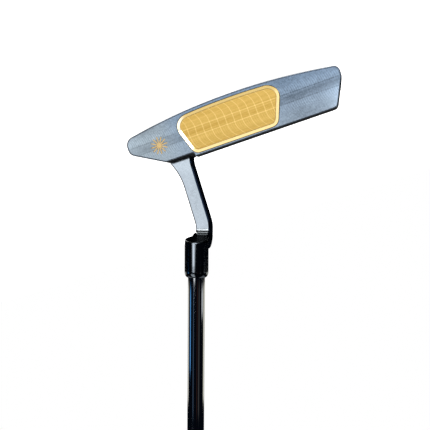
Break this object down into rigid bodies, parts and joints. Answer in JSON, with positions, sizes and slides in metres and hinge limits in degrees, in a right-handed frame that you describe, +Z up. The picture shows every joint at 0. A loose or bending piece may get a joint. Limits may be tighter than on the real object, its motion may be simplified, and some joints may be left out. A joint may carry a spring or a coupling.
{
  "type": "blade putter",
  "caption": "Right-handed blade putter with a milled head, framed gold face insert, crank neck, stepped steel shaft and a pistol grip with a flat front.",
  "frame": {"origin": "centre of the flat land in the middle of the sole, where the putter touches the ground at address", "axes": "+Z up, -Y the way the face looks and the ball leaves, +X towards the heel and the player, so the toe is at -X and the shaft leans towards +X"},
  "size_m": [0.3617, 0.0473, 0.8245],
  "materials": {
    "milled_steel": "satin, fine curved milling marks",
    "gold_alloy": "satin milled face",
    "bright_gold": "bright bevel",
    "bond_pad": "matte",
    "dark_steel": "satin",
    "gold_paint": "metallic paint in an engraving",
    "white_paint": "paint in a milled groove",
    "dark_chrome": "dark polished plating",
    "tape_paper": "double-sided paper tape",
    "grip_rubber": "matte moulded rubber",
    "cap_rubber": "smooth moulded rubber"
  },
  "bodies": {
    "root": {"head_body": "milled_steel", "crank_neck": "milled_steel", "face_insert": "gold_alloy", "insert_frame": "bright_gold", "insert_bond_pad": "bond_pad", "insert_screw_toe": "dark_steel", "insert_screw_middle": "dark_steel", "insert_screw_heel": "dark_steel", "heel_mark_fill": "gold_paint", "sight_line_fill": "white_paint", "heel_sole_weight": "dark_steel", "toe_sole_weight": "dark_steel", "shaft": "dark_chrome", "grip_tape": "tape_paper", "grip": "grip_rubber", "grip_end_cap": "cap_rubber"}
  },
  "joints": []
}
